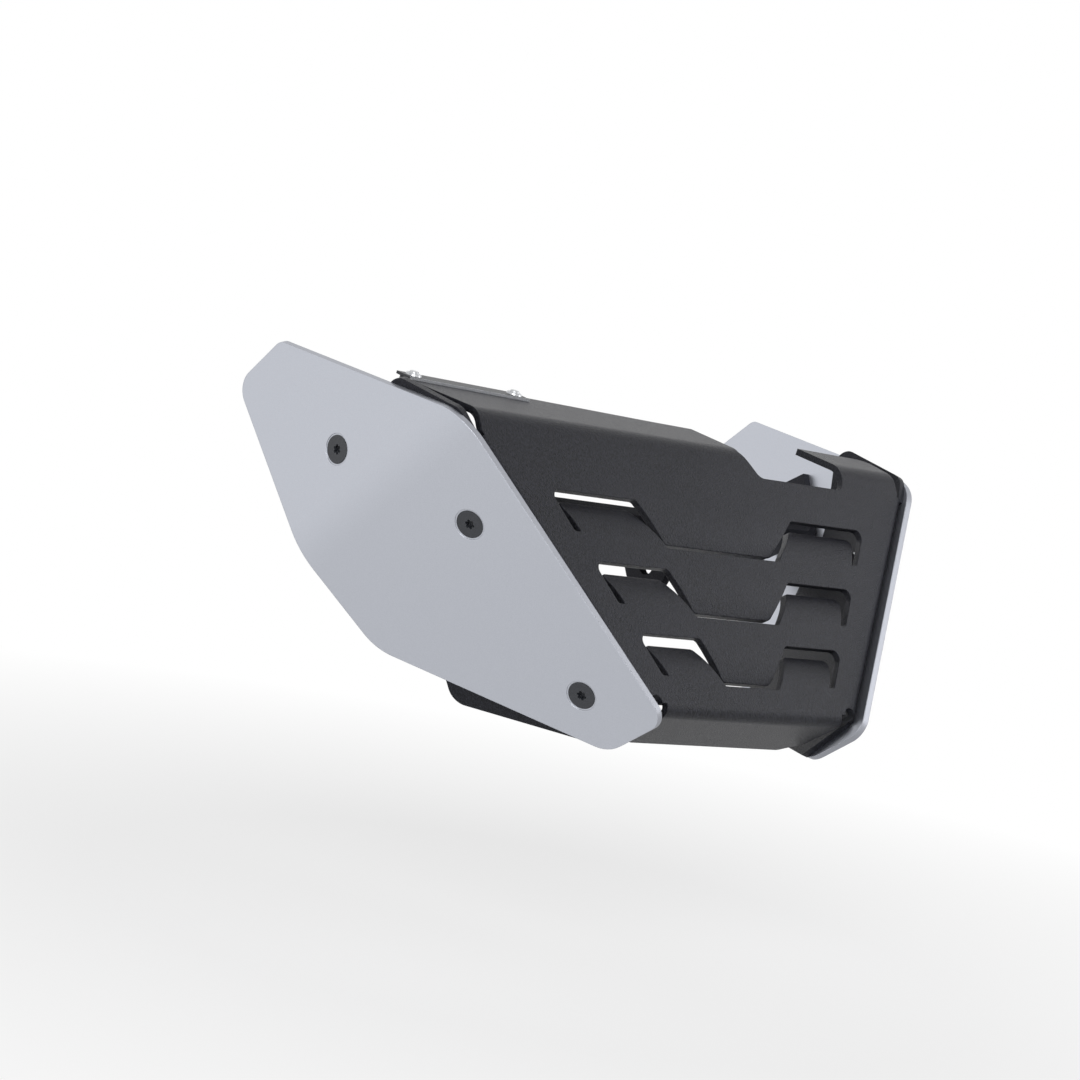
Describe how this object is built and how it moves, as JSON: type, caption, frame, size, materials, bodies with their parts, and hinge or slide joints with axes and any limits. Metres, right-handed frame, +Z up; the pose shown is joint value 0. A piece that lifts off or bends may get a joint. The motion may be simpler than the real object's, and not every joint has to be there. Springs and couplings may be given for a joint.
{
  "type": "motorcycle engine spoiler",
  "caption": "Folded sheet engine spoiler with rolled cooling louvres, bolted silver side plates and a rear strap with eyes that hang it under the front of a motorcycle engine.",
  "frame": {"origin": "centre of the engine bolt's axis, halfway between the two eyes of the rear strap", "axes": "+X along the engine bolt towards the rider's left, +Y towards the rear of the motorcycle, +Z up, with the spoiler standing as it hangs under the engine"},
  "size_m": [0.3014, 0.1953, 0.1383],
  "materials": {
    "shell_black": "fine-grained matt black powder coat on folded aluminium sheet",
    "plate_silver": "fine satin, natural anodised, with bright cut edges",
    "strap_black": "fine-grained matt black powder coat on folded aluminium strip",
    "screw_black": "satin black coated steel",
    "fixing_zinc": "bright zinc plate",
    "strip_black": "satin black with a bare bright front edge",
    "rivet_bright": "bright bare aluminium"
  },
  "bodies": {
    "root": {"front_shell": "shell_black", "side_plate_right": "plate_silver", "side_plate_left": "plate_silver", "plate_screw_rear_right": "screw_black", "plate_screw_rear_left": "screw_black", "plate_screw_upper_right": "screw_black", "plate_screw_upper_left": "screw_black", "plate_screw_lower_right": "screw_black", "plate_screw_lower_left": "screw_black", "plate_washer_rear_right": "fixing_zinc", "plate_washer_rear_left": "fixing_zinc", "plate_washer_upper_right": "fixing_zinc", "plate_washer_upper_left": "fixing_zinc", "plate_washer_lower_right": "fixing_zinc", "plate_washer_lower_left": "fixing_zinc", "plate_nut_rear_right": "fixing_zinc", "plate_nut_rear_left": "fixing_zinc", "plate_nut_upper_right": "fixing_zinc", "plate_nut_upper_left": "fixing_zinc", "plate_nut_lower_right": "fixing_zinc", "plate_nut_lower_left": "fixing_zinc", "rear_strap": "strap_black", "roof_strip": "strip_black", "roof_rivet_out": "rivet_bright", "roof_rivet_in": "rivet_bright"}
  },
  "joints": []
}
